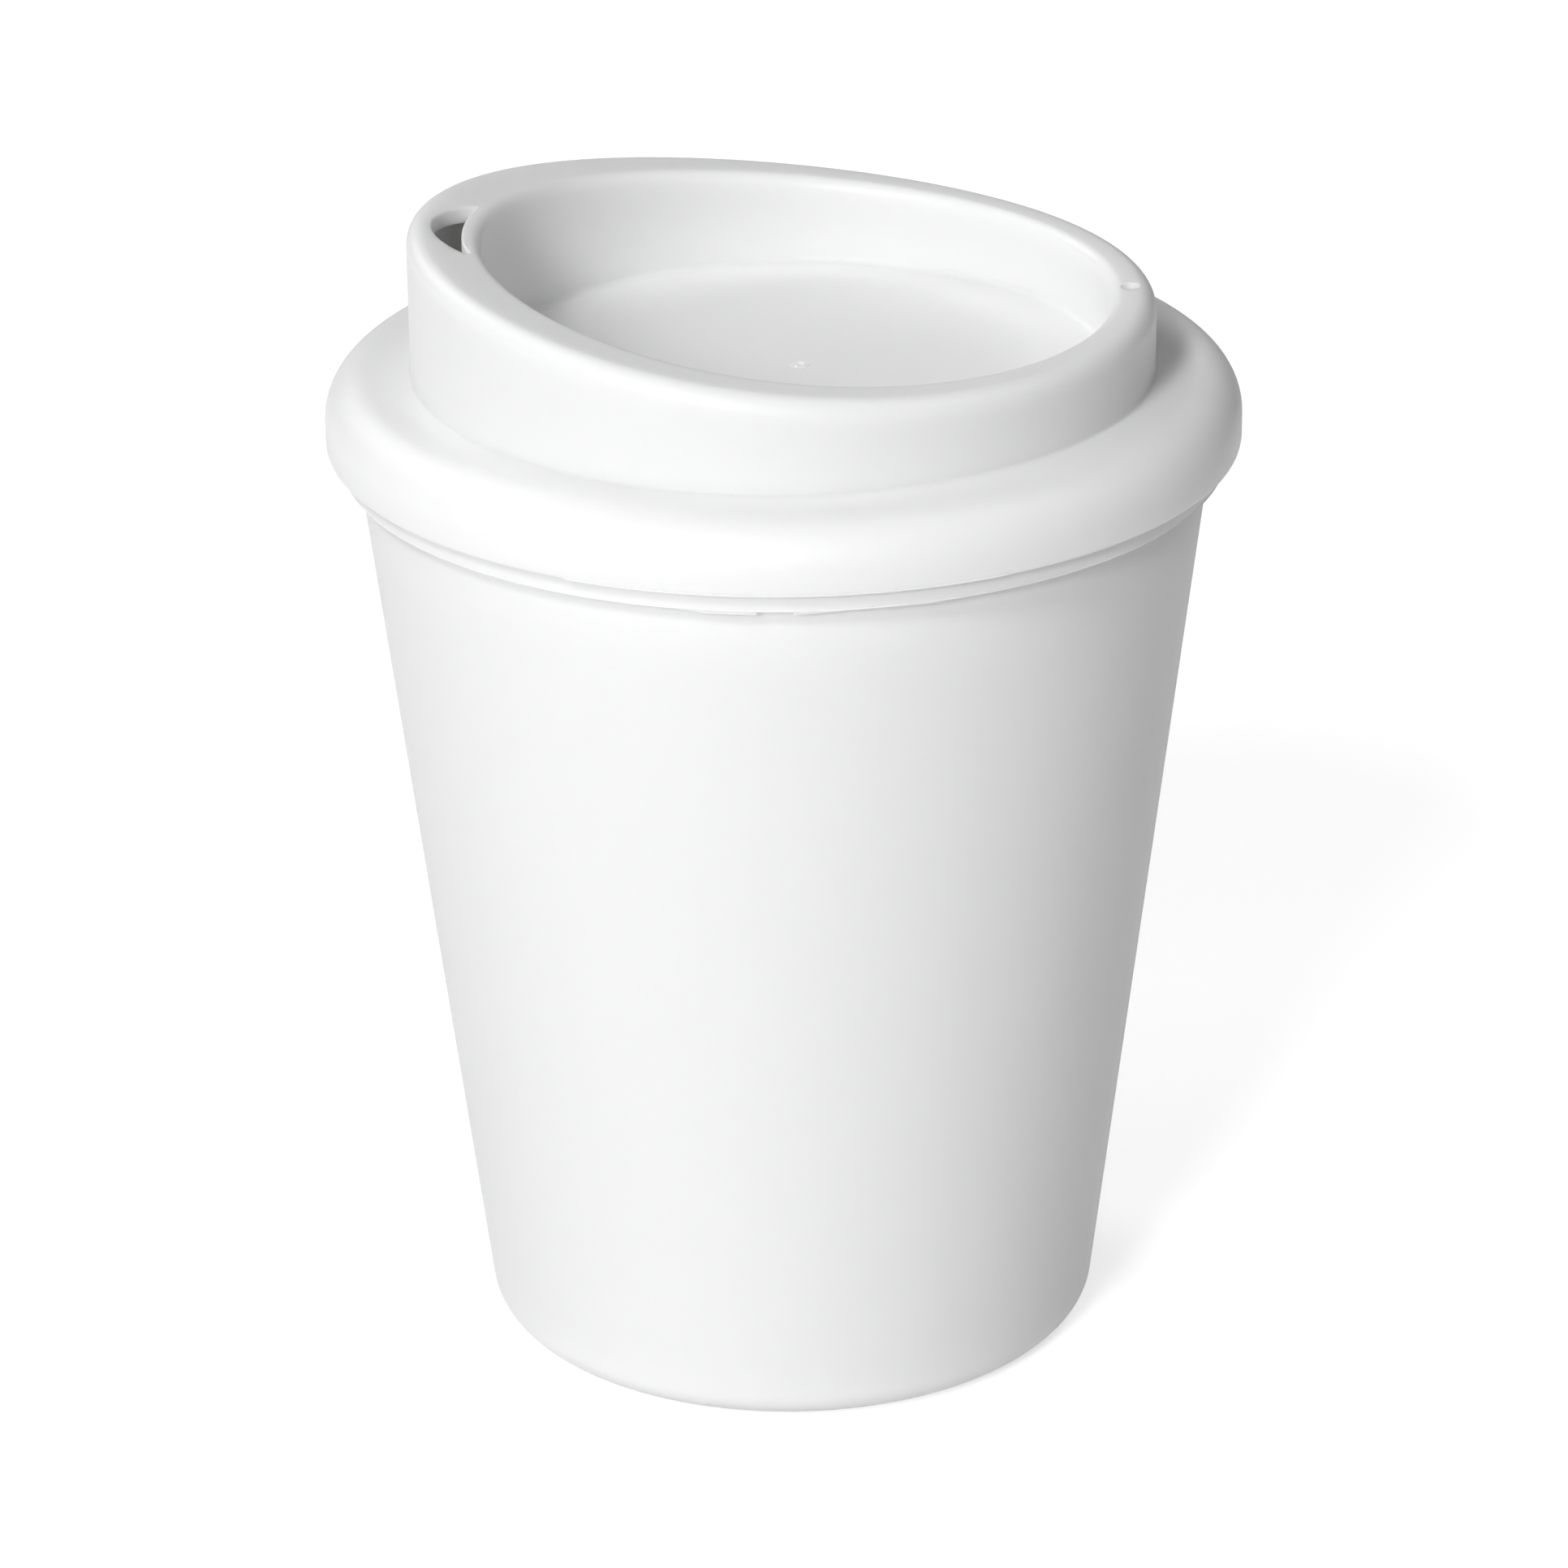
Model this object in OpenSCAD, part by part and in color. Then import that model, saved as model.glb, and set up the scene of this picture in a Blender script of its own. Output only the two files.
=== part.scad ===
// Double-wall reusable coffee cup with a screw lid.
// The lid has a raised, slanted drinking rim round a shallow well.
// Z is up and the origin is the centre of the foot. Sizes are in millimetres.

/* [Outer shell] */
// Radius of the outer shell at its top edge
shell_top_r = 42.4; // [38:0.1:48]
// Radius that the outer wall would have on the table, without the foot's rounding
shell_base_r = 31; // [26:0.1:36]
// Height of the outer shell, up to the flange
shell_h = 93.2; // [70:0.1:130]
// Wall thickness of the outer shell
shell_wall = 1.8; // [1.2:0.1:2.4]
// Floor thickness of the outer shell
shell_floor = 2; // [1.2:0.1:3]
// Radius of the rounding round the foot
foot_round = 3.4; // [1:0.1:5]
// Width of the ring that the cup stands on
stand_ring_w = 3.6; // [2:0.1:6]
// Depth of the recess inside the standing ring
base_recess = 1; // [0.4:0.1:2]

/* [Inner cup] */
// How far the flange stands out past the outer shell
flange_out = 1.6; // [1:0.1:2.5]
// Height of the flange, the band that shows under the lid
flange_h = 1.85; // [1.2:0.05:3]
// Step in from the flange's edge to the neck
neck_step = 3; // [2.4:0.1:4]
// Height of the threaded neck above the flange
neck_h = 3.9; // [3.6:0.1:8]
// Wall thickness of the neck
neck_wall = 1.8; // [1.4:0.1:2.4]
// Wall thickness of the inner cup
cup_wall = 1.6; // [1:0.1:2]
// Air gap between the two walls at the inner cup's floor
side_gap = 1.5; // [0.8:0.1:3]
// Air gap between the two floors
floor_gap = 3.4; // [1:0.1:8]
// Radius of the rounding inside the bottom of the inner cup
cup_round = 6; // [3:0.5:10]

/* [Thread] */
// Rise of the lid in one full turn
thread_lead = 5; // [4:0.1:7]
// Number of thread starts
thread_starts = 2; // [2:1:2]
// Depth of the thread
thread_depth = 0.9; // [0.6:0.05:1.1]
// Height of the lowest end of the thread over the flange
thread_start = 0.5; // [0.3:0.1:0.6]
// Height of a thread ridge at its root
thread_root = 0.9; // [0.6:0.05:1]
// Height of a thread ridge at its crest
thread_crest = 0.5; // [0.3:0.05:0.55]
// Arc that each thread ridge on the neck covers, in degrees
neck_thread_arc = 150; // [90:5:150]
// Gap over the crests of the threads
crest_gap = 0.4; // [0.3:0.05:0.6]
// Gap between the flanks of the two threads, measured along the axis
flank_gap = 0.2; // [0.1:0.05:0.3]

/* [Lid] */
// Gap between the flange and the lower edge of the lid
lid_gap = 0.25; // [0.2:0.05:0.5]
// How far the lid's skirt stands out past the flange
skirt_out = 1.5; // [0.8:0.1:3]
// Height of the rounded edge at the foot of the skirt
skirt_lip = 0.4; // [0.2:0.1:0.8]
// Thickness of the lid's walls
lid_wall = 1.8; // [1.4:0.1:2.2]
// Radius of the big rounding from the skirt to the shoulder
shoulder_round = 4.4; // [2:0.1:5]
// Radius of the rounding inside the skirt's top corner
skirt_inner_round = 1.5; // [0.6:0.1:2]
// Width of the shoulder between the skirt's outer face and the drinking ridge
shoulder_w = 8.6; // [7.6:0.1:12]

/* [Drinking ridge] */
// Height of the rim over the shoulder, midway between its high and low sides
rim_h = 11.4; // [9:0.1:20]
// Difference in height between the drinking side and the vent side
rim_rise = 7.5; // [0:0.1:9]
// How far the rim dips midway, below a straight slant
rim_bow = 2; // [0:0.1:2.5]
// Radius of the rounding on the rim's outer edge
rim_round = 1.9; // [0.8:0.1:2.4]
// Thickness of the ridge's outer wall and of the well's wall
ridge_wall = 1.4; // [1.2:0.1:1.6]
// Width of the rim at the vent side, from the outer wall to the well
rim_w_vent = 4.4; // [4.2:0.1:6]
// Width of the rim at the drinking side, from the outer wall to the well
rim_w_sip = 7.4; // [6.6:0.1:9]
// Radius of the rounding on the rim's inner edge
well_edge = 1; // [0.4:0.1:1.2]
// Radius of the rounding round the well's floor
well_round = 0.8; // [0.4:0.1:2]
// Radius of the rounding inside the hollow ridge
hollow_round = 0.5; // [0.3:0.1:0.5]

/* [Drinking hole and vent] */
// Width of the drinking hole along the rim
sip_w = 14.3; // [8:0.1:18]
// Depth of the drinking hole across the rim
sip_d = 3.3; // [2:0.1:4]
// Distance of the drinking hole's outer edge from the ridge's outer wall
sip_edge = 2.3; // [1.8:0.1:3]
// Direction of the drinking hole, measured from the vent
sip_turn = 178; // [160:1:200]
// Diameter of the vent hole
vent_d = 2; // [1:0.2:2.4]
// Distance of the vent hole's centre from the ridge's outer wall
vent_in = 2.55; // [2.05:0.1:3.25]

/* [Seal] */
// Thickness of the seal ring
seal_h = 1.25; // [0.8:0.05:2]
// Free play round the seal ring in its seat
seal_gap = 0.1; // [0.05:0.05:0.2]
// Thickness of the collar that holds the seal ring inside the lid
collar_wall = 1.4; // [1:0.1:2]
// How far the collar reaches down into the neck
collar_dip = 0.8; // [0.5:0.1:2]
// Gap between the collar and the inside of the neck
collar_gap = 1.4; // [0.4:0.1:1.6]

/* [Hidden] */
white = [0.93, 0.93, 0.92];
inner_white = [0.90, 0.90, 0.89];
silicone = [0.82, 0.83, 0.83];
round_fn = 96;           // any value above 12 stands for a true circle
arc_n = 8;               // straight steps in a rounded corner of a profile
ridge_n = 72;            // straight steps round the drinking ridge
edge = 0.3;              // small rounding on exposed moulded edges
bury = 0.4;              // how deep a ridge or rib is rooted in its wall
far = 200;               // larger than any part of the cup

// outer shell
shell_tan = (shell_top_r - shell_base_r) / shell_h;
shell_a = atan(shell_tan);
shell_floor_z = base_recess + shell_floor;
function shell_r(z) = shell_base_r + z * shell_tan;
function shell_in_r(z) = shell_r(z) - shell_wall / cos(shell_a);

// inner cup
flange_r = shell_top_r + flange_out;
flange_top = shell_h + flange_h;
neck_r = flange_r - neck_step;
neck_top = flange_top + neck_h;
mouth_r = neck_r - neck_wall;
cup_under_z = shell_floor_z + floor_gap;
cup_floor_z = cup_under_z + cup_wall;
cup_base_r = shell_in_r(cup_floor_z) - side_gap - cup_wall;
cup_tan = (mouth_r - cup_base_r) / (neck_top - cup_floor_z);
cup_a = atan(cup_tan);
function cup_in_r(z) = mouth_r - (neck_top - z) * cup_tan;

// thread, with the lid's ridges just under those of the neck
thread_z = flange_top + thread_start + thread_root / 2;
flank_meet = (thread_root - thread_crest) / 2 * (1 + crest_gap / thread_depth);
thread_drop = thread_root - flank_meet + flank_gap;
lid_thread_from = 360 * (lid_gap + edge / 2 + thread_drop - thread_start) / thread_lead;

// lid
skirt_r = flange_r + skirt_out;
skirt_in_r = neck_r + thread_depth + crest_gap;
skirt_z = flange_top + lid_gap;
seal_z = neck_top + seal_gap;
under_z = seal_z + seal_h + seal_gap;
shoulder_z = under_z + lid_wall;
collar_r = mouth_r - collar_gap;
ridge_r = skirt_r - shoulder_w;
ridge_in_r = ridge_r - ridge_wall;
rim_z = shoulder_z + rim_h;
rim_slope = rim_rise / (2 * ridge_r);
well_r = ridge_r - (rim_w_sip + rim_w_vent) / 2;
well_x = (rim_w_sip - rim_w_vent) / 2;
foot_z = under_z - bury;
// height of the rim over the point x, and radius of the well seen from the axis in direction a
function rim_at(x) = rim_z - rim_slope * x - rim_bow * (1 - pow(x / ridge_r, 2));
function well_at(a) = well_x * cos(a) + sqrt(pow(well_r, 2) - pow(well_x * sin(a), 2));

// seal ring
seal_in_r = collar_r + seal_gap;
seal_out_r = skirt_in_r - skirt_inner_round + edge;

// Points of a round corner about [x, z], from angle a to angle b
function corner(x, z, r, a, b, n = arc_n) = [for (i = [0:n]) let (t = a + (b - a) * i / n)
    [x + r * cos(t), z + r * sin(t)]];

// Turns a profile of [radius, height] points about the Z axis
module turned(points) {
    rotate_extrude($fn = round_fn) polygon(points);
}

// One helical ridge on the wall of radius wall_r, from azimuth a0 to a1.
// out is 1 for a ridge that stands outwards and -1 for one that stands inwards.
module thread_ridge(wall_r, out, a0, a1, z0) {
    steps = ceil((a1 - a0) / 6);
    section = [[-bury, -thread_root / 2], [thread_depth, -thread_crest / 2],
        [thread_depth, thread_crest / 2], [-bury, thread_root / 2]];
    function fade(i) = min(1, min(i, steps - i) / 2 + 0.15);
    points = [for (i = [0:steps]) let (a = a0 + (a1 - a0) * i / steps) for (p = section)
        let (d = p[0] > 0 ? p[0] * fade(i) : p[0], r = wall_r + out * d)
        [r * cos(a), r * sin(a), z0 + thread_lead * a / 360 + p[1]]];
    ring = [0, 1, 2, 3];
    sides = [for (i = [0:steps - 1]) for (k = ring) let (n = (k + 1) % 4, b = 4 * i)
        out > 0 ? [b + n, b + n + 4, b + k + 4, b + k] : [b + k, b + k + 4, b + n + 4, b + n]];
    last = 4 * steps;
    ends = out > 0 ? [[3, 2, 1, 0], [last, last + 1, last + 2, last + 3]]
        : [[0, 1, 2, 3], [last + 3, last + 2, last + 1, last]];
    polyhedron(points = points, faces = concat(sides, ends), convexity = 4);
}

module outer_shell() {
    foot_x = shell_r(foot_round) - foot_round / cos(shell_a);
    ring_in = foot_x - stand_ring_w;
    in_x = shell_in_r(shell_floor_z + foot_round) - foot_round / cos(shell_a);
    color(white) turned(concat(
        [[0, base_recess], [ring_in - base_recess / 2, base_recess], [ring_in, 0]],
        corner(foot_x, foot_round, foot_round, -90, -shell_a),
        [[shell_top_r, shell_h], [shell_in_r(shell_h), shell_h]],
        corner(in_x, shell_floor_z + foot_round, foot_round, -shell_a, -90),
        [[0, shell_floor_z]]));
}

module inner_cup() {
    out_round = cup_round + cup_wall;
    in_x = cup_in_r(cup_floor_z + cup_round) - cup_round / cos(cup_a);
    color(inner_white) union() {
        turned(concat(
            [[0, cup_under_z]],
            corner(in_x, cup_floor_z + cup_round, out_round, -90, -cup_a),
            [[cup_in_r(shell_h) + cup_wall / cos(cup_a), shell_h]],
            corner(flange_r - edge, shell_h + edge, edge, -90, 0),
            corner(flange_r - edge, flange_top - edge, edge, 0, 90),
            [[neck_r, flange_top]],
            corner(neck_r - edge, neck_top - edge, edge, 0, 90),
            corner(mouth_r + edge, neck_top - edge, edge, 90, 180 - cup_a),
            corner(in_x, cup_floor_z + cup_round, cup_round, -cup_a, -90),
            [[0, cup_floor_z]]));
        for (s = [0:thread_starts - 1]) rotate(360 * s / thread_starts)
            thread_ridge(neck_r, 1, 0, neck_thread_arc, thread_z);
    }
}

// Skirt and shoulder, in to the middle of the ridge's outer wall
module lid_skirt() {
    in_r = ridge_r - ridge_wall * 0.3;
    turned(concat(
        [[in_r, under_z]],
        corner(skirt_in_r - skirt_inner_round, under_z - skirt_inner_round, skirt_inner_round, 90, 0),
        [[skirt_in_r, skirt_z]],
        corner(skirt_r - skirt_lip, skirt_z + skirt_lip, skirt_lip, -90, 0),
        corner(skirt_r - shoulder_round, shoulder_z - shoulder_round, shoulder_round, 0, 90),
        [[in_r, shoulder_z]]));
}

// Points of the hollow ridge cut in direction a: up the outer wall, over the rim,
// down into the well, and back along the inside of the hollow
function ridge_section(a) = let (
    w = well_at(a),
    h = hollow_round,
    over = concat(
        corner(ridge_r - rim_round, -rim_round, rim_round, 0, 90, arc_n - 2),
        corner(w + well_edge, -well_edge, well_edge, 90, 180, arc_n / 2)),
    under = concat(
        corner(w + ridge_wall + h, -lid_wall - h, h, 180, 90, 2),
        corner(ridge_in_r - h, -lid_wall - h, h, 90, 0, 2)),
    into_well = corner(w - well_round, shoulder_z + well_round - edge / 4, well_round, 0, -90, 4))
    [for (p = concat(
        [[ridge_r, foot_z]],
        [for (q = over) [q[0], q[1] + rim_at(q[0] * cos(a))]],
        into_well,
        [[w - well_round, foot_z], [w + ridge_wall, foot_z]],
        [for (q = under) [q[0], q[1] + rim_at(q[0] * cos(a))]],
        [[ridge_in_r, foot_z]])) [p[0] * cos(a), p[0] * sin(a), p[1]]];

// Drinking ridge: a hollow wall round the well whose rim slants and bows
module ridge() {
    sections = [for (i = [0:ridge_n - 1]) ridge_section(360 * i / ridge_n)];
    m = len(sections[0]);
    count = ridge_n * m;
    sides = [for (i = [0:ridge_n - 1]) for (k = [0:m - 1])
        let (b = i * m, n = (k + 1) % m)
        [b + k, b + n, (b + m + n) % count, (b + m + k) % count]];
    polyhedron(points = [for (s = sections) for (p = s) p], faces = sides, convexity = 6);
}

// Half-moon drinking hole: a round bulge cut off by the arc round the well
module sip_hole() {
    outer_r = ridge_r - sip_edge;
    inner_r = outer_r - sip_d;
    sag = outer_r - sqrt(inner_r * inner_r - sip_w * sip_w / 4);
    bulge_r = (sip_w * sip_w / 4 + sag * sag) / (2 * sag);
    rotate(sip_turn) translate([0, 0, rim_at(-ridge_r) - 2 * lid_wall]) linear_extrude(far) difference() {
        translate([outer_r - bulge_r, 0]) circle(r = bulge_r, $fn = round_fn);
        circle(r = inner_r, $fn = round_fn);
    }
}

module lid() {
    color(white) union() {
        difference() {
            union() {
                lid_skirt();
                translate([well_x, 0, under_z])
                    cylinder(r = well_r + ridge_wall * 0.3, h = lid_wall, $fn = round_fn);
                ridge();
            }
            sip_hole();
            translate([ridge_r - vent_in, 0, rim_at(ridge_r - vent_in) - lid_wall - hollow_round])
                cylinder(d = vent_d, h = far, $fn = round_fn);
        }
        turned([[collar_r - collar_wall, neck_top - collar_dip], [collar_r, neck_top - collar_dip],
            [collar_r, under_z + edge], [collar_r - collar_wall, under_z + edge]]);
        for (s = [0:thread_starts - 1]) rotate(360 * s / thread_starts)
            thread_ridge(skirt_in_r, -1, lid_thread_from, neck_thread_arc, thread_z - thread_drop);
    }
}

module seal_ring() {
    color(silicone) turned(concat(
        [[seal_in_r, seal_z], [seal_in_r, seal_z + seal_h]],
        corner(seal_out_r - edge, seal_z + seal_h - edge, edge, 90, 0),
        corner(seal_out_r - edge, seal_z + edge, edge, 0, -90)));
}

outer_shell();
inner_cup();
lid();
seal_ring();
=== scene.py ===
# White double-wall coffee cup with a screw lid.
# Sizes are in millimetres in the settings and become metres when a point is placed.
import math
import bpy
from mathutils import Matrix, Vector


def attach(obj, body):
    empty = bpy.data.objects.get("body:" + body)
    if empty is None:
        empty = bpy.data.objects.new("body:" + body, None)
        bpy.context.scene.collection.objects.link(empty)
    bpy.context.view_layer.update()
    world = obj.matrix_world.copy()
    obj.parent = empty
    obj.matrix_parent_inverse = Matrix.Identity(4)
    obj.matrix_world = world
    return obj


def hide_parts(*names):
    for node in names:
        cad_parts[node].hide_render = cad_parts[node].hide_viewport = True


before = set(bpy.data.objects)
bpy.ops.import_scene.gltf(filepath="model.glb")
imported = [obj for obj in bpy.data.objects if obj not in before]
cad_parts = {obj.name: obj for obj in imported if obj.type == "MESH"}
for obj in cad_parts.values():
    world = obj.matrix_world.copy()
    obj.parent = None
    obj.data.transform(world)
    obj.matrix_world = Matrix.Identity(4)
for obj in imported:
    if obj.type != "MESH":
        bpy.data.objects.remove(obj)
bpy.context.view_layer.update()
mm = 0.001
weldDistance = 1e-6   # metres
print("frame loaded:", sorted(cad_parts))


def clearSelection():
    if bpy.context.object and bpy.context.object.mode != "OBJECT":
        bpy.ops.object.mode_set(mode="OBJECT")
    bpy.ops.object.select_all(action="DESELECT")


def makeActive(piece):
    clearSelection()
    piece.select_set(True)
    bpy.context.view_layer.objects.active = piece


def azimuth(co):
    return math.degrees(math.atan2(co.y, co.x)) % 360


def roundCorner(x, z, radius, start, end, steps):
    # points of an arc in the profile's plane, angles in degrees
    angles = [math.radians(start + (end - start) * i / steps) for i in range(steps + 1)]
    return [(x + radius * math.cos(a), z + radius * math.sin(a)) for a in angles]


def faceOutwards():
    # turns all faces of the piece in edit mode outwards and leaves edit mode
    bpy.ops.mesh.select_all(action="SELECT")
    bpy.ops.mesh.normals_make_consistent(inside=False)
    bpy.ops.object.mode_set(mode="OBJECT")


def spinProfile(name, points, steps):
    # the profile is drawn as a chain of vertices and spun about the cup's axis
    clearSelection()
    start = (points[0][0] * mm, 0, points[0][1] * mm)
    bpy.ops.mesh.primitive_plane_add(size=mm, location=start)
    piece = bpy.context.object
    piece.name = name
    bpy.ops.object.transform_apply(location=True, rotation=False, scale=False)
    bpy.ops.object.mode_set(mode="EDIT")
    bpy.ops.mesh.select_all(action="SELECT")
    bpy.ops.mesh.merge(type="CENTER")
    for here, there in zip(points, points[1:] + points[:1]):
        move = ((there[0] - here[0]) * mm, 0, (there[1] - here[1]) * mm)
        bpy.ops.mesh.extrude_region_move(TRANSFORM_OT_translate={"value": move})
    bpy.ops.mesh.select_all(action="SELECT")
    bpy.ops.mesh.remove_doubles(threshold=weldDistance)
    bpy.ops.mesh.spin(steps=steps, angle=math.tau, center=(0, 0, 0), axis=(0, 0, 1))
    bpy.ops.mesh.select_all(action="SELECT")
    bpy.ops.mesh.remove_doubles(threshold=weldDistance)
    bpy.ops.mesh.delete_loose()
    faceOutwards()
    return piece


def sweepSection(name, section, fromAngle, toAngle, steps):
    # a four-cornered section of (radius, height) pairs, in metres, swept about the cup's axis
    clearSelection()
    bpy.ops.mesh.primitive_plane_add(size=mm, location=(0, 0, 0))
    piece = bpy.context.object
    piece.name = name
    start = math.radians(fromAngle)
    for index, (r, z) in zip(list(piece.data.polygons[0].vertices), section):
        piece.data.vertices[index].co = (r * math.cos(start), r * math.sin(start), z)
    bpy.ops.object.mode_set(mode="EDIT")
    bpy.ops.mesh.select_all(action="SELECT")
    step = math.radians((toAngle - fromAngle) / steps)
    for _ in range(steps):
        bpy.ops.mesh.extrude_region_move()
        bpy.ops.object.mode_set(mode="OBJECT")
        for v in piece.data.vertices:
            if v.select:
                x, y = v.co.x, v.co.y
                v.co.x = x * math.cos(step) - y * math.sin(step)
                v.co.y = x * math.sin(step) + y * math.cos(step)
        bpy.ops.object.mode_set(mode="EDIT")
    faceOutwards()
    return piece


def joinPieces(main, others):
    makeActive(main)
    for piece in others:
        piece.select_set(True)
    bpy.ops.object.join()
    return main


def combine(piece, other, how):
    # cuts the other piece away ("DIFFERENCE") or makes both one solid ("UNION")
    makeActive(piece)
    step = piece.modifiers.new("combine", "BOOLEAN")
    step.operation = how
    step.solver = "EXACT"
    step.object = other
    bpy.ops.object.modifier_apply(modifier=step.name)
    bpy.data.objects.remove(other)


def smoothPiece(piece):
    sharpEdge = 32   # degrees: sharper edges keep their crease
    makeActive(piece)
    bpy.ops.object.shade_smooth_by_angle(angle=math.radians(sharpEdge))
    clearSelection()


# finishes: every pattern reads the piece's own Object coordinates, in metres
plastic = {
    "reach": (0.005, 0.0049, 0.0047), "ior": 1.49,
    # noise scale and detail, and for the two bumps the height in metres
    "drift": (45, 1), "rub": (160, 1), "grain": (5200, 1), "wave": (28, 1),
    "grainHeight": 0.00002, "waveHeight": 0.0002,
}


def addNoise(nodes, links, scale, detail):
    place = nodes.new("ShaderNodeTexCoord")
    noise = nodes.new("ShaderNodeTexNoise")
    noise.inputs["Scale"].default_value = scale
    noise.inputs["Detail"].default_value = detail
    links.new(place.outputs["Object"], noise.inputs["Vector"])
    return noise.outputs["Fac"]


def driftColour(nodes, links, noise, look, shader):
    tone = nodes.new("ShaderNodeMix")
    tone.data_type = "RGBA"
    tone.inputs["A"].default_value = (*look["dark"], 1)
    tone.inputs["B"].default_value = (*look["light"], 1)
    links.new(noise, tone.inputs["Factor"])
    links.new(tone.outputs["Result"], shader.inputs["Base Color"])


def driftRoughness(nodes, links, noise, look, shader):
    satin = nodes.new("ShaderNodeMapRange")
    satin.inputs["To Min"].default_value = look["gloss"][0]
    satin.inputs["To Max"].default_value = look["gloss"][1]
    links.new(noise, satin.inputs["Value"])
    links.new(satin.outputs["Result"], shader.inputs["Roughness"])


def addBump(nodes, links, noise, strength, height):
    bump = nodes.new("ShaderNodeBump")
    bump.inputs["Strength"].default_value = strength
    bump.inputs["Distance"].default_value = height
    links.new(noise, bump.inputs["Height"])
    return bump


def newMaterial(name):
    material = bpy.data.materials.new(name)
    material.use_nodes = True
    return material, material.node_tree.nodes, material.node_tree.links


def letLightIn(shader, weight, reach):
    shader.inputs["Subsurface Weight"].default_value = weight
    shader.inputs["Subsurface Radius"].default_value = reach
    shader.inputs["Subsurface Scale"].default_value = 1.0


def mouldedPlastic(name, look):
    # satin plastic: a faint tone drift, uneven satin, a fine grain and long waves from the mould
    material, nodes, links = newMaterial(name)
    shader = nodes["Principled BSDF"]
    letLightIn(shader, look["glow"], plastic["reach"])
    shader.inputs["IOR"].default_value = plastic["ior"]
    driftColour(nodes, links, addNoise(nodes, links, *plastic["drift"]), look, shader)
    driftRoughness(nodes, links, addNoise(nodes, links, *plastic["rub"]), look, shader)
    grain = addNoise(nodes, links, *plastic["grain"])
    wave = addNoise(nodes, links, *plastic["wave"])
    fine = addBump(nodes, links, grain, look["grain"], plastic["grainHeight"])
    slow = addBump(nodes, links, wave, look["wave"], plastic["waveHeight"])
    links.new(slow.outputs["Normal"], fine.inputs["Normal"])
    links.new(fine.outputs["Normal"], shader.inputs["Normal"])
    return material


shellPlastic = mouldedPlastic("satinShellPlastic", {
    "light": (0.935, 0.935, 0.935), "dark": (0.92, 0.92, 0.92),
    "gloss": (0.5, 0.58), "glow": 0.4, "grain": 0.25, "wave": 0.05})
linerPlastic = mouldedPlastic("satinLinerPlastic", {
    "light": (0.93, 0.93, 0.93), "dark": (0.91, 0.91, 0.91),
    "gloss": (0.45, 0.53), "glow": 0.4, "grain": 0.15, "wave": 0.05})
lidPlastic = mouldedPlastic("satinLidPlastic", {
    "light": (0.935, 0.935, 0.935), "dark": (0.925, 0.925, 0.925),
    "gloss": (0.46, 0.54), "glow": 0.5, "grain": 0.2, "wave": 0.06})
print("plastics mixed")

# the outer shell: tapered wall, rounded foot and standing ring
shell = {
    "topRadius": 42.4, "baseRadius": 31.0, "height": 93.2, "wall": 1.8, "floor": 2.0,
    "footRound": 3.4, "standRing": 3.6, "recess": 1.0, "lip": 0.08, "steps": 288,
    # points along the flat base and up the wall, and the standing ring's inner slope
    "baseRadii": (0, 14), "wallHeights": (10, 25, 45, 65, 85),
    "ringSlope": 0.7, "ringEdge": [(-0.15, 0.12), (0.15, 0.0)],
}


def shellRadius(z):
    return shell["baseRadius"] + (shell["topRadius"] - shell["baseRadius"]) * z / shell["height"]


def buildShell():
    lean = math.degrees(math.atan((shell["topRadius"] - shell["baseRadius"]) / shell["height"]))
    upright = math.cos(math.radians(lean))
    thick = shell["wall"] / upright
    foot, top, lip, recess = (shell[key] for key in ("footRound", "height", "lip", "recess"))
    footX = shellRadius(foot) - foot / upright
    floorZ = recess + shell["floor"]
    inX = shellRadius(floorZ + foot) - thick - foot / upright
    ringIn = footX - shell["standRing"]
    profile = [(r, recess) for r in shell["baseRadii"]]
    profile += [(ringIn - shell["ringSlope"], recess)]
    profile += [(ringIn + out, up) for out, up in shell["ringEdge"]]
    profile += roundCorner(footX, foot, foot, -90, -lean, 14)
    profile += [(shellRadius(z), z) for z in shell["wallHeights"]]
    profile += roundCorner(shellRadius(top) - lip, top - lip, lip, 0, 90, 3)
    profile += [(shellRadius(top) - thick, top)]
    profile += roundCorner(inX, floorZ + foot, foot, -lean, -90, 8)
    profile += [(0, floorZ)]
    wall = spinProfile("outerShell", profile, shell["steps"])
    wall.data.materials.append(shellPlastic)
    smoothPiece(wall)
    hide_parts("outer_shell")
    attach(wall, "cup")


buildShell()
print("outer shell spun")

# the screw thread: a ridge's section, and where the ridges start and end in degrees
thread = {
    "lead": 5.0, "depth": 0.9, "root": 0.9, "crest": 0.5, "bury": 0.3,
    "zAtFlange": 96.0, "drop": 0.811, "starts": (0, 180), "end": 150, "lidBegin": 51,
    "step": 3, "fade": 12, "tip": 0.08,
}


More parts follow.
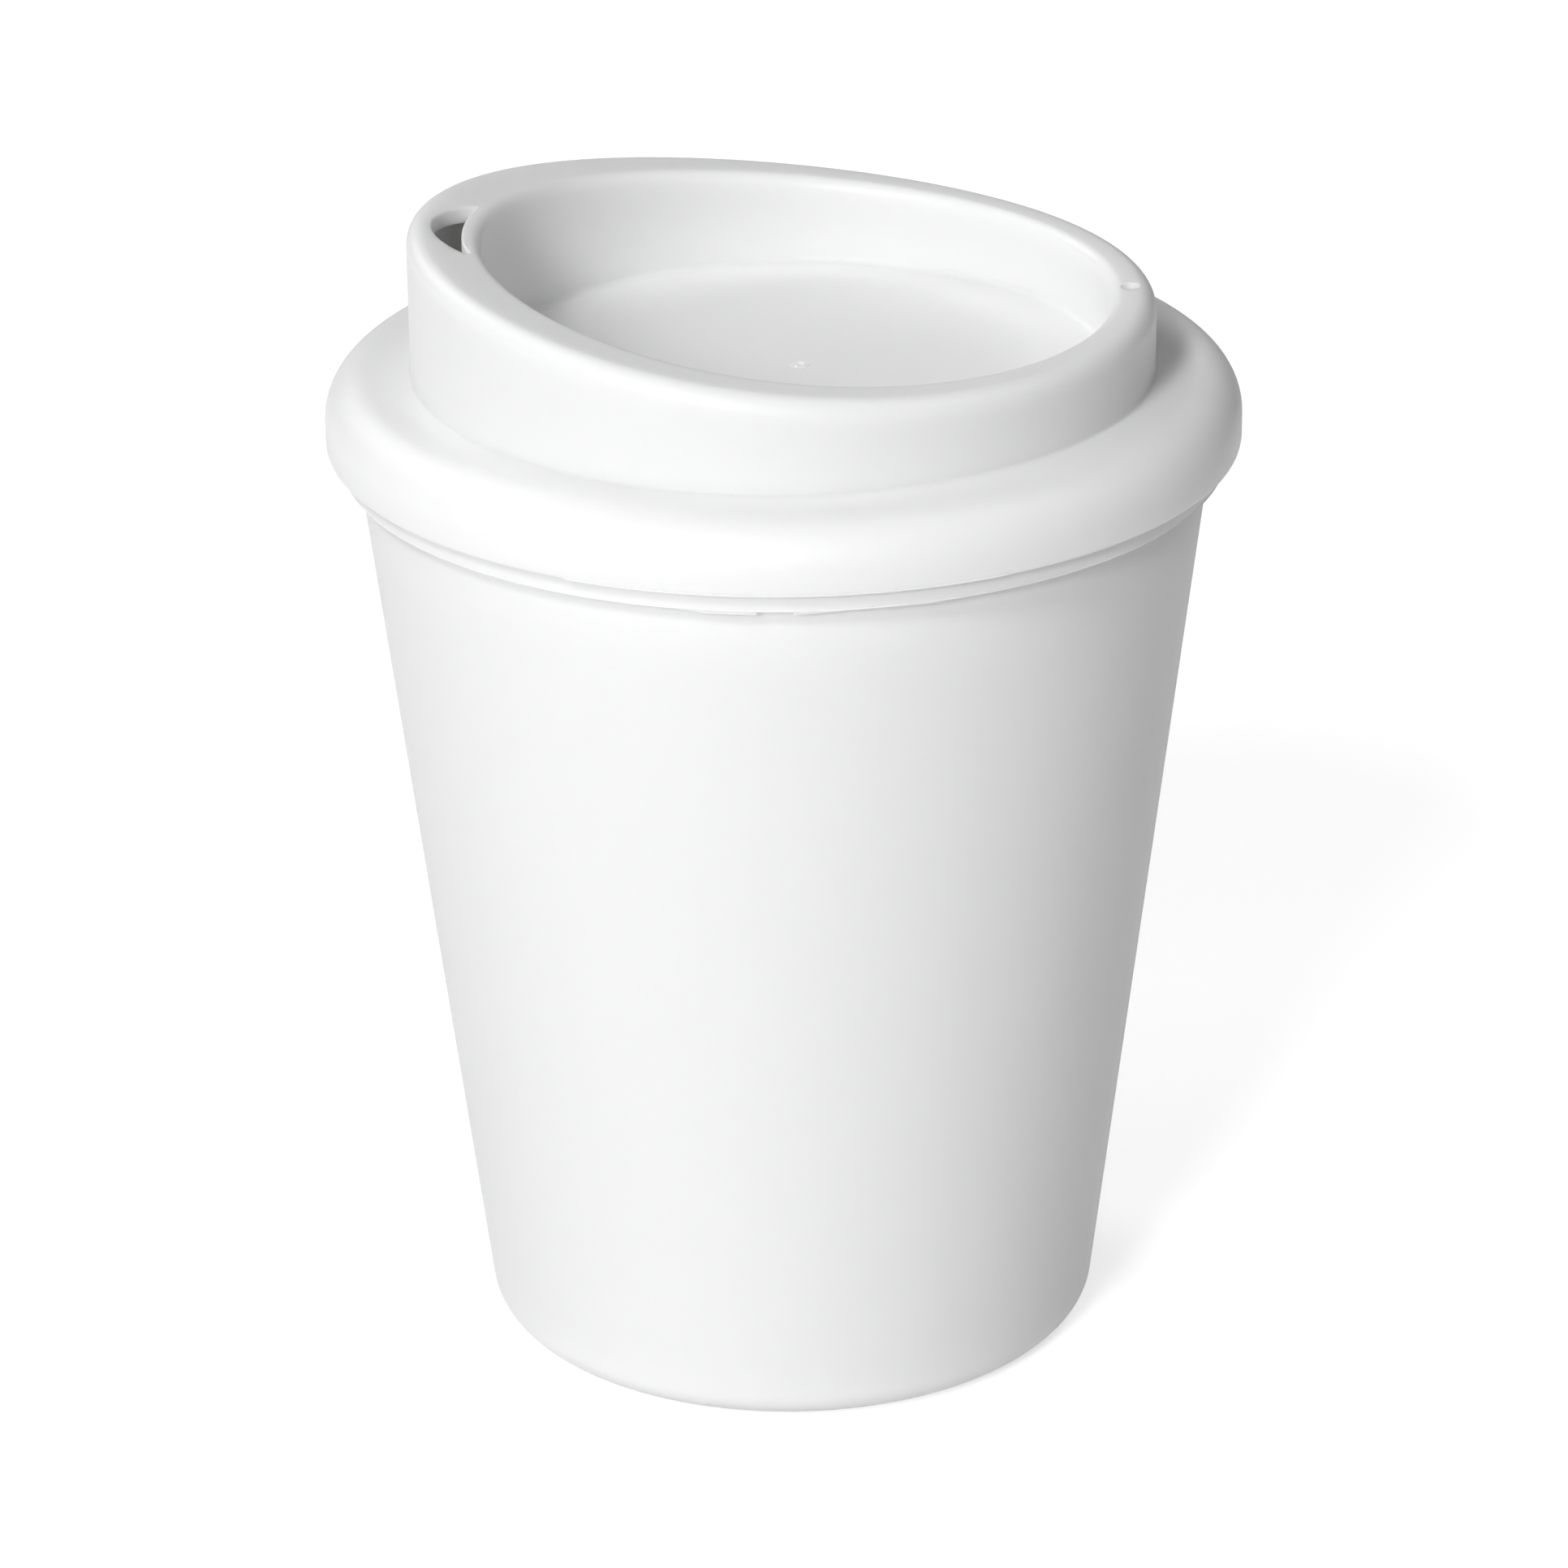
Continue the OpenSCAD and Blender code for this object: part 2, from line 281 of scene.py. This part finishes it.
def threadRidge(name, wallRadius, outwards, fromAngle, toAngle, height):
    # one ridge: its section is swept flat, then lifted along the helix and faded at both ends
    depth, root, crest, bury = (thread[key] for key in ("depth", "root", "crest", "bury"))
    corners = [(-bury, -root / 2), (depth, -crest / 2), (depth, crest / 2), (-bury, root / 2)]
    section = [((wallRadius + outwards * d) * mm, z * mm) for d, z in corners]
    span = toAngle - fromAngle
    ridge = sweepSection(name, section, fromAngle, toAngle, round(span / thread["step"]))
    slack = 20   # degrees, so that the start isn't taken for a whole turn
    for v in ridge.data.vertices:
        turned = (azimuth(v.co) - fromAngle + slack) % 360 - slack
        fade = min(1, min(turned, span - turned) / thread["fade"] + thread["tip"])
        r = math.hypot(v.co.x, v.co.y)
        d = (r / mm - wallRadius) * outwards
        if d > 0:
            scale = (wallRadius + outwards * d * max(fade, thread["tip"])) * mm / r
            v.co.x *= scale
            v.co.y *= scale
        v.co.z += (height + thread["lead"] * (fromAngle + turned) / 360) * mm
    return ridge


def threadRidges(name, wallRadius, outwards, begin, height):
    ridges = [threadRidge(name, wallRadius, outwards, a + begin, a + thread["end"],
                          height - thread["lead"] * a / 360) for a in thread["starts"]]
    return joinPieces(ridges[0], ridges[1:])


# the inner cup, with the flange that shows under the lid and the threaded neck
liner = {
    "under": 6.4, "floor": 8.0, "baseRadius": 27.07, "mouthRadius": 39.2, "wall": 1.6,
    "round": 6.0, "flangeRadius": 44.0, "flangeLow": 93.2, "flangeTop": 95.05,
    "neckRadius": 41.0, "neckTop": 98.95, "edge": 0.3, "flangeEdge": 0.1, "neckFoot": 0.2,
    "steps": 288, "outerHeight": 50, "innerHeights": (80, 50, 25), "floorRadii": (12, 0),
    "flangeLip": [(0.04, 0.03), (0.04, 0.08), (-0.02, 0.13)],
    # slivers of flash: from and to, in degrees from the front, and how far each end hangs down
    "flash": [(-13.9, -3.6, 0.04, 0.34), (0.95, 7.1, 0.34, 0.12), (14.5, 19.6, 0.1, 0.18)],
    "flashRadius": (43.1, 43.8), "flashRoot": 0.08, "flashSteps": 16, "flashSlope": 0.4,
}


def linerRadius(z):
    slope = (liner["mouthRadius"] - liner["baseRadius"]) / (liner["neckTop"] - liner["floor"])
    return liner["mouthRadius"] - (liner["neckTop"] - z) * slope


def flashSliver(fromAngle, toAngle, startDrop, endDrop):
    # a thin curved sliver under the flange's front, which is at 270 degrees
    inner, outer = (r * mm for r in liner["flashRadius"])
    root = (liner["flangeLow"] + liner["flashRoot"]) * mm
    section = [(inner, 0), (outer, 0), (outer, root), (inner, root)]
    sliver = sweepSection("flashSliver", section, 270 + fromAngle, 270 + toAngle,
                          liner["flashSteps"])
    for v in sliver.data.vertices:
        if v.co.z < mm:
            along = (azimuth(v.co) - 270 - fromAngle) / (toAngle - fromAngle)
            share = min(1, along / liner["flashSlope"]) if startDrop < endDrop else along
            drop = startDrop + (endDrop - startDrop) * share
            v.co.z = (liner["flangeLow"] - drop) * mm
    return sliver


def linerProfile():
    # once round the moulding: outside from the base up, flange, neck, then down the inside
    low, top, neckTop = liner["flangeLow"], liner["flangeTop"], liner["neckTop"]
    flange, neck, mouth = liner["flangeRadius"], liner["neckRadius"], liner["mouthRadius"]
    edge, crisp, neckFoot = liner["edge"], liner["flangeEdge"], liner["neckFoot"]
    tilt = math.degrees(math.atan((mouth - liner["baseRadius"]) / (neckTop - liner["floor"])))
    thick = liner["wall"] / math.cos(math.radians(tilt))
    bendZ = liner["floor"] + liner["round"]
    bendX = linerRadius(bendZ) - liner["round"] / math.cos(math.radians(tilt))
    profile = [(0, liner["under"])]
    profile += roundCorner(bendX, bendZ, liner["round"] + liner["wall"], -90, -tilt, 10)
    profile += [(linerRadius(z) + thick, z) for z in (liner["outerHeight"], low)]
    profile += [(flange, low)]
    profile += [(flange + out, low + up) for out, up in liner["flangeLip"]]
    profile += roundCorner(flange - crisp, top - crisp, crisp, 0, 90, 4)
    profile += roundCorner(neck + neckFoot, top + neckFoot, neckFoot, 270, 180, 4)
    profile += roundCorner(neck - edge, neckTop - edge, edge, 0, 90, 5)
    profile += roundCorner(mouth + edge, neckTop - edge, edge, 90, 180 - tilt, 5)
    profile += [(linerRadius(z), z) for z in liner["innerHeights"]]
    profile += roundCorner(bendX, bendZ, liner["round"], -tilt, -90, 10)
    profile += [(r, liner["floor"]) for r in liner["floorRadii"]]
    return profile


def buildLiner():
    cup = spinProfile("innerCup", linerProfile(), liner["steps"])
    ridges = threadRidges("neckThread", liner["neckRadius"], 1, 0, thread["zAtFlange"])
    slivers = [flashSliver(*span) for span in liner["flash"]]
    combine(cup, joinPieces(ridges, slivers), "UNION")
    cup.data.materials.clear()
    cup.data.materials.append(linerPlastic)
    smoothPiece(cup)
    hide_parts("inner_cup")
    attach(cup, "cup")


buildLiner()
print("inner cup spun, thread and flange done")

# the lid: skirt, shoulder, slanted and bowed drinking ridge, well, two holes
lid = {
    "skirtRadius": 45.5, "skirtInner": 42.3, "skirtLow": 95.3, "lip": 0.4,
    "shoulderRound": 4.4, "shoulder": 102.2, "under": 100.4,
    "ridgeRadius": 36.9, "rim": 113.6, "rimSlope": 0.1016, "rimBow": 2.0, "rimRound": 1.9,
    "ridgeWall": 1.4, "wellRadius": 31.0, "wellX": 1.5, "wellEdge": 1.2, "wellRound": 0.8,
    "collarRadius": 37.8, "collarInner": 36.4, "collarLow": 98.15, "footZ": 100.0, "roof": 1.55,
    "steps": 360,
    # small roundings and slopes
    "ridgeFoot": 0.35, "ridgeFootUp": 0.33, "skirtStraight": 0.9, "skirtSlope": 0.2,
    "skirtRoof": 1.5, "collarSlope": 0.15, "collarRound": 0.25, "hollowRound": 0.5,
    # rings of vertices on the flats
    "floorRadii": (0, 6, 14, 22, 27), "rimRadii": (32.6, 33.3, 34.1),
    "shoulderRadii": (38.3, 39.8),
    # the well is set aside in full within the first radius and not at all past the second
    "asideFull": 32.95, "asideNone": 35.0,
    "bowAbove": 104.5,   # everything over this height follows the rim's slant and bow
}
drinkingHole = {
    "outer": 34.4, "inner": 31.45, "bulge": 8.98, "turn": 178.15, "curl": 0.6,
    "bulgeSteps": 20, "arcSteps": 12, "depth": 3.4, "flare": 0.25, "taper": 0,
}
ventHole = {
    "x": 34.36, "y": 0.15, "radius": 0.95, "steps": 40, "depth": 2.3, "flare": 0.07,
    "taper": 0.35,
}


def rimLift(x):
    # how far the rim over the point x stands above its mean height: a slant with a shallow bow
    return -lid["rimSlope"] * x - lid["rimBow"] * (1 - (x / lid["ridgeRadius"]) ** 2)


def shapeRim(piece, above):
    # slants and bows everything over the given height, as the mould's curved parting face does
    for v in piece.data.vertices:
        if v.co.z > above * mm:
            v.co.z += rimLift(v.co.x / mm) * mm


def flareLevels(hole):
    # heights from the rim and how far the outline grows there: a quarter round up to the rim
    flare, flareSteps, overRim, clearOfRim = hole["flare"], 5, 0.01, 6
    levels = [(-hole["depth"], -hole["taper"]), (-flare, 0)]
    for step in range(1, flareSteps):
        a = math.radians(90 / flareSteps * step)
        levels.append((flare * (math.sin(a) - 1), flare * (1 - math.cos(a))))
    return levels + [(overRim, flare), (clearOfRim, flare)]


def holeCutter(name, outlineAt, hole):
    # a plug that follows the outline, with a flare where it leaves the rim
    clearSelection()
    bpy.ops.mesh.primitive_circle_add(vertices=len(outlineAt(0)), radius=0.01, fill_type="NGON",
                                      location=(0, 0, 0))
    cutter = bpy.context.object
    cutter.name = name
    # spots says which point of the outline each vertex of the newest level stands for
    spots = {v.index: i for i, v in enumerate(cutter.data.vertices)}
    for turn, (z, offset) in enumerate(flareLevels(hole)):
        outline = outlineAt(offset)
        if turn:
            before = {(round(v.co.x, 7), round(v.co.y, 7)): spots[v.index]
                      for v in cutter.data.vertices if v.index in spots}
            bpy.ops.object.mode_set(mode="EDIT")
            bpy.ops.mesh.extrude_region_move()
            bpy.ops.object.mode_set(mode="OBJECT")
            spots = {v.index: before[(round(v.co.x, 7), round(v.co.y, 7))]
                     for v in cutter.data.vertices if v.select}
        for index, spot in spots.items():
            x, y = outline[spot]
            cutter.data.vertices[index].co = (x * mm, y * mm, (lid["rim"] + z) * mm)
    bpy.ops.object.mode_set(mode="EDIT")
    faceOutwards()
    shapeRim(cutter, 0)
    return cutter


def halfMoon(offset):
    # the drinking hole's outline: a round bulge cut off by an arc about the cup's axis, which
    # curls a little inwards at its front end
    bulge, inner = drinkingHole["bulge"] + offset, drinkingHole["inner"] - offset
    bulgeSteps, arcSteps = drinkingHole["bulgeSteps"], drinkingHole["arcSteps"]
    centre = drinkingHole["outer"] - drinkingHole["bulge"]
    x = (inner ** 2 - bulge ** 2 + centre ** 2) / (2 * centre)
    y = math.sqrt(inner ** 2 - x ** 2)
    wide, narrow = math.atan2(y, x - centre), math.atan2(y, x)
    points = [(centre + bulge * math.cos(t), bulge * math.sin(t))
              for t in [wide * (i / bulgeSteps - 1) for i in range(2 * bulgeSteps + 1)]]
    for share in [1 - i / arcSteps for i in range(1, 2 * arcSteps)]:
        r = inner - drinkingHole["curl"] * max(0, 2 * share - 1) ** 2
        points.append((r * math.cos(narrow * share), r * math.sin(narrow * share)))
    turn = math.radians(drinkingHole["turn"])
    return [(px * math.cos(turn) - py * math.sin(turn), px * math.sin(turn) + py * math.cos(turn))
            for px, py in points]


def roundHole(offset):
    r = ventHole["radius"] + offset
    angles = [math.tau * i / ventHole["steps"] for i in range(ventHole["steps"])]
    return [(ventHole["x"] + r * math.cos(a), ventHole["y"] + r * math.sin(a)) for a in angles]


def lidProfile():
    # once round the moulding: well, rim, ridge, shoulder, skirt, then back along the underside
    rim, well, ridge = lid["rim"], lid["wellRadius"], lid["ridgeRadius"]
    floor, under, low = lid["shoulder"], lid["under"], lid["skirtLow"]
    wellRound, wellEdge, rimRound = lid["wellRound"], lid["wellEdge"], lid["rimRound"]
    skirt, skirtIn, shoulder = lid["skirtRadius"], lid["skirtInner"], lid["shoulderRound"]
    lip, slope, skirtRoof = lid["lip"], lid["skirtSlope"], lid["skirtRoof"]
    collar, collarIn, collarLow = lid["collarRadius"], lid["collarInner"], lid["collarLow"]
    bevel, small, hollow = lid["collarSlope"], lid["collarRound"], lid["hollowRound"]
    wellIn, ridgeIn = well + lid["ridgeWall"], ridge - lid["ridgeWall"]
    roof, footZ = rim - lid["roof"], lid["footZ"]
    profile = [(r, floor) for r in lid["floorRadii"]]
    profile += roundCorner(well - wellRound, floor + wellRound, wellRound, -90, 0, 8)
    profile += roundCorner(well + wellEdge, rim - wellEdge, wellEdge, 180, 90, 9)
    profile += [(r, rim) for r in lid["rimRadii"]]
    profile += roundCorner(ridge - rimRound, rim - rimRound, rimRound, 90, 0, 14)
    profile += roundCorner(ridge + lid["ridgeFoot"], floor + lid["ridgeFootUp"],
                           lid["ridgeFoot"], 180, 270, 5)
    profile += [(r, floor) for r in lid["shoulderRadii"]]
    profile += roundCorner(skirt - shoulder, floor - shoulder, shoulder, 90, 0, 26)
    profile += [(skirt, low + lip + lid["skirtStraight"])]
    profile += roundCorner(skirt - lip, low + lip, lip, 0, -90, 7)
    profile += [(skirtIn + slope, low), (skirtIn, low + slope)]
    profile += roundCorner(skirtIn - skirtRoof, under - skirtRoof, skirtRoof, 0, 90, 6)
    profile += [(collar + bevel, under), (collar, under - bevel)]
    profile += roundCorner(collar - small, collarLow + small, small, 0, -90, 3)
    profile += roundCorner(collarIn + small, collarLow + small, small, -90, -180, 3)
    profile += [(collarIn, footZ), (ridgeIn, footZ)]
    profile += roundCorner(ridgeIn - hollow, roof - hollow, hollow, 0, 90, 4)
    profile += roundCorner(wellIn + hollow, roof - hollow, hollow, 90, 180, 4)
    profile += [(wellIn, footZ), (well - wellRound, footZ), (well - wellRound, under), (0, under)]
    return profile


def setWellAside(piece):
    # the well is a round pocket set off from the axis, so the rim is wide at the drinking side
    for v in piece.data.vertices:
        r = math.hypot(v.co.x, v.co.y) / mm
        share = (lid["asideNone"] - r) / (lid["asideNone"] - lid["asideFull"])
        v.co.x += lid["wellX"] * min(1, max(0, share)) * mm


partingLine = {
    "reach": 27.3,   # degrees to either side of the front
    "fine": (88, 0.6),   # how far a finer lip goes on round the right side, and how fine it is
    # the skirt's rounded lower edge, by degrees round it: out from its centre, down from its centre
    "edge": [(0, 0.40, 0), (20, 0.38, 0.15), (36, 0.33, 0.26), (48, 0.40, 0.31), (61, 0.40, 0.40),
             (74, 0.35, 0.46), (90, 0.0, 0.47)],
}


def partingLip(piece):
    # across the front the skirt's lower edge ends in a fine lip that hangs a little lower
    lip, low, edge = lid["lip"], lid["skirtLow"], partingLine["edge"]
    centre, near, close = lid["skirtRadius"] - lip, 0.05, 0.01
    for v in piece.data.vertices:
        if v.co.y >= 0:
            continue
        r = math.hypot(v.co.x, v.co.y) / mm
        down = low + lip - v.co.z / mm
        around = azimuth(v.co) - 270
        full = 1 if abs(around) <= partingLine["reach"] else 0
        if partingLine["reach"] < around < partingLine["fine"][0]:
            full = partingLine["fine"][1]
        if full and r > centre - near and -close < down < lip + close:
            turn = math.degrees(math.asin(min(1, max(0, down / lip))))
            step = max(i for i in range(len(edge) - 1) if edge[i][0] <= turn)
            (t0, out0, down0), (t1, out1, down1) = edge[step:step + 2]
            share = (turn - t0) / (t1 - t0)
            newR = r + full * (centre + out0 + (out1 - out0) * share - r)
            newDown = down + full * (down0 + (down1 - down0) * share - down)
            v.co.x *= newR / r
            v.co.y *= newR / r
            v.co.z = (low + lip - newDown) * mm


gate = {
    "x": 1.6, "y": -0.42, "ring": 0.95, "bead": 0.05, "flatten": 0.9,
    # how the ring breaks up: height swing, how deep it sinks, and how uneven it is
    "swing": 0.04, "sink": 0.025, "uneven": 0.04,
    # small nibs and pits left round the gate: x, y, length, width and height or depth
    "nibs": [(-0.3, -0.6, 0.22, 0.16, 0.17), (0.24, 0.36, 0.38, 0.17, 0.15),
             (0.42, -0.34, 0.14, 0.12, 0.13)],
    "pits": [(0.8, -0.18, 0.19, 0.24, 0.22), (-0.95, -0.2, 0.15, 0.2, 0.15),
             (-0.62, 0.36, 0.15, 0.16, 0.13), (0.42, 0.62, 0.14, 0.12, 0.1)],
}


def smallLump(x, y, length, width, height):
    clearSelection()
    bpy.ops.mesh.primitive_uv_sphere_add(segments=16, ring_count=8, radius=mm)
    lump = bpy.context.object
    for v in lump.data.vertices:
        v.co.x = v.co.x * length + (gate["x"] + x) * mm
        v.co.y = v.co.y * width + (gate["y"] + y) * mm
        v.co.z = v.co.z * height + lid["shoulder"] * mm
    return lump


def gateMark():
    # the broken ring and the nibs that the mould's gate leaves on the well's floor
    clearSelection()
    bpy.ops.mesh.primitive_torus_add(location=(0, 0, 0), major_segments=48, minor_segments=10,
                                     major_radius=gate["ring"] * mm,
                                     minor_radius=gate["bead"] * mm)
    mark = bpy.context.object
    mark.name = "gateMark"
    for v in mark.data.vertices:
        a = math.atan2(v.co.y, v.co.x)
        level = 0.35 + 0.65 * math.sin(2 * a + 0.6) * math.cos(3 * a)
        lift = level * gate["swing"] - gate["sink"]
        v.co.z = v.co.z * gate["flatten"] + (lift + lid["shoulder"]) * mm
        v.co.x = v.co.x * (1 + gate["uneven"] * math.sin(5 * a)) + gate["x"] * mm
        v.co.y += gate["y"] * mm
    return joinPieces(mark, [smallLump(*nib) for nib in gate["nibs"]])


def buildLid():
    cover = spinProfile("screwLid", lidProfile(), lid["steps"])
    setWellAside(cover)
    shapeRim(cover, lid["bowAbove"])
    partingLip(cover)
    pits = [smallLump(*pit) for pit in gate["pits"]]
    vent = holeCutter("ventCutter", roundHole, ventHole)
    drinking = holeCutter("drinkingCutter", halfMoon, drinkingHole)
    combine(cover, joinPieces(drinking, [vent] + pits), "DIFFERENCE")
    height = thread["zAtFlange"] - thread["drop"]
    ridges = threadRidges("lidThread", lid["skirtInner"], -1, thread["lidBegin"], height)
    combine(cover, ridges, "UNION")
    combine(cover, gateMark(), "UNION")
    cover.data.materials.clear()
    cover.data.materials.append(lidPlastic)
    smoothPiece(cover)
    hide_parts("lid")
    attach(cover, "lid")
    return cover


screwLid = buildLid()
print("lid spun, rim bowed, holes cut:", len(screwLid.data.polygons), "faces")

# the seal ring keeps its shape from the frame
seal = {
    "light": (0.76, 0.77, 0.77), "dark": (0.70, 0.71, 0.71), "gloss": (0.5, 0.62),
    "glow": 0.4, "reach": (0.0015, 0.0015, 0.0014), "cloud": (300, 3),
    "dust": 0.2, "dustHeight": 0.00003,
}


def paleSilicone():
    # one cloudy pattern drives its tone, its gloss and the dust that clings to it
    material, nodes, links = newMaterial("paleSilicone")
    shader = nodes["Principled BSDF"]
    letLightIn(shader, seal["glow"], seal["reach"])
    cloud = addNoise(nodes, links, *seal["cloud"])
    driftColour(nodes, links, cloud, seal, shader)
    driftRoughness(nodes, links, cloud, seal, shader)
    dust = addBump(nodes, links, cloud, seal["dust"], seal["dustHeight"])
    links.new(dust.outputs["Normal"], shader.inputs["Normal"])
    return material


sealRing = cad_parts["seal_ring"]
sealRing.data.materials.clear()
sealRing.data.materials.append(paleSilicone())
print("seal ring finished")

# floor, lights and camera, in metres
studio = {
    "floorSize": 6, "floorTone": 0.8, "floorLift": 0.6,
    # the floor is lifted to white between these two distances, far from the cup and its shadow
    "whiteFrom": 0.4, "whiteAt": 1.1, "farLift": 0.4,
    "ambient": 0.0, "distance": 1.3, "aimHeight": 0.06,
    # name: degrees to the right of the front, degrees up, size in metres, watts
    "lamps": {
        "keySoftbox": (-28, 42, 0.25, 5.1), "lowSoftbox": (-20, 25, 0.25, 6.7),
        "frontSoftbox": (-10, 10, 0.7, 2.0), "backSoftbox": (-140, 35, 0.7, 4.5),
        "leftSoftbox": (-90, 60, 0.7, 2.3), "rightSoftbox": (90, 60, 0.7, 3.5),
    },
}
view = {
    "place": (0.0, -0.599248, 0.315391), "turn": (66.655, 0.5491, -0.2043),
    "lens": 147.01, "sensor": 36, "clipStart": 0.01,
}


def seenBy(nodes, links, rays):
    # 1 for the kinds of rays that are named, 0 for all others
    path = nodes.new("ShaderNodeLightPath")
    seen = path.outputs[rays[0]]
    for ray in rays[1:]:
        either = nodes.new("ShaderNodeMath")
        either.operation = "MAXIMUM"
        links.new(seen, either.inputs[0])
        links.new(path.outputs[ray], either.inputs[1])
        seen = either.outputs[0]
    return seen


def layFloor():
    clearSelection()
    bpy.ops.mesh.primitive_plane_add(size=studio["floorSize"], location=(0, 0, 0))
    floor = bpy.context.object
    floor.name = "paleFloor"
    material, nodes, links = newMaterial("paleTable")
    nodes.remove(nodes["Principled BSDF"])
    matt = nodes.new("ShaderNodeBsdfDiffuse")
    matt.inputs["Color"].default_value = (studio["floorTone"],) * 3 + (1,)

    # the camera, mirror-like bounces and rays through glass see the floor white
    nearLift = nodes.new("ShaderNodeMath")
    nearLift.operation = "MULTIPLY"
    nearLift.inputs[1].default_value = studio["floorLift"]
    seen = seenBy(nodes, links, ["Is Camera Ray", "Is Glossy Ray", "Is Transmission Ray"])
    links.new(seen, nearLift.inputs[0])
    place = nodes.new("ShaderNodeTexCoord")
    away = nodes.new("ShaderNodeVectorMath")
    away.operation = "LENGTH"
    links.new(place.outputs["Object"], away.inputs[0])
    whiten = nodes.new("ShaderNodeMapRange")
    whiten.inputs["From Min"].default_value = studio["whiteFrom"]
    whiten.inputs["From Max"].default_value = studio["whiteAt"]
    whiten.inputs["To Max"].default_value = studio["farLift"]
    links.new(away.outputs["Value"], whiten.inputs["Value"])
    allLift = nodes.new("ShaderNodeMath")
    allLift.operation = "MULTIPLY_ADD"
    seenFar = seenBy(nodes, links, ["Is Camera Ray", "Is Transmission Ray"])
    links.new(whiten.outputs["Result"], allLift.inputs[0])
    links.new(seenFar, allLift.inputs[1])
    links.new(nearLift.outputs[0], allLift.inputs[2])

    lift = nodes.new("ShaderNodeEmission")
    links.new(allLift.outputs[0], lift.inputs["Strength"])
    both = nodes.new("ShaderNodeAddShader")
    links.new(matt.outputs[0], both.inputs[0])
    links.new(lift.outputs[0], both.inputs[1])
    links.new(both.outputs[0], nodes["Material Output"].inputs["Surface"])
    floor.data.materials.append(material)


def hangLight(name, right, up, size, power):
    turn, rise, far = math.radians(right), math.radians(up), studio["distance"]
    place = (far * math.sin(turn) * math.cos(rise), -far * math.cos(turn) * math.cos(rise),
             studio["aimHeight"] + far * math.sin(rise))
    clearSelection()
    bpy.ops.object.light_add(type="AREA", location=place)
    lamp = bpy.context.object
    lamp.name = name
    lamp.data.shape = "DISK"
    lamp.data.size = size
    lamp.data.energy = power
    aim = Vector((0, 0, studio["aimHeight"])) - Vector(place)
    lamp.rotation_euler = aim.to_track_quat("-Z", "Y").to_euler()


def lightWorld():
    world = bpy.data.worlds.new("studioWorld")
    bpy.context.scene.world = world
    world.use_nodes = True
    nodes, links = world.node_tree.nodes, world.node_tree.links
    backing = nodes["Background"]
    backing.inputs["Color"].default_value = (1, 1, 1, 1)
    level = nodes.new("ShaderNodeMapRange")
    level.inputs["To Min"].default_value = studio["ambient"]
    level.inputs["To Max"].default_value = 1.0
    # the cup has no metal, and its satin sheen is lit by the lamps alone
    seen = seenBy(nodes, links, ["Is Camera Ray", "Is Transmission Ray"])
    links.new(seen, level.inputs["Value"])
    links.new(level.outputs["Result"], backing.inputs["Strength"])


def setCamera():
    clearSelection()
    turn = [math.radians(a) for a in view["turn"]]
    bpy.ops.object.camera_add(location=view["place"], rotation=turn)
    camera = bpy.context.object
    camera.name = "photoView"
    camera.data.sensor_width = view["sensor"]
    camera.data.lens = view["lens"]
    camera.data.clip_start = view["clipStart"]
    bpy.context.scene.camera = camera


layFloor()
lightWorld()
for lampName, setting in studio["lamps"].items():
    hangLight(lampName, *setting)
setCamera()
bpy.context.scene.view_settings.view_transform = "Standard"
# white plastic needs few bounces to look right, and more of them only take time
bpy.context.scene.cycles.max_bounces = 4
bpy.context.scene.cycles.diffuse_bounces = 3
print("floor, lights and camera set")

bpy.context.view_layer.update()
clearSelection()
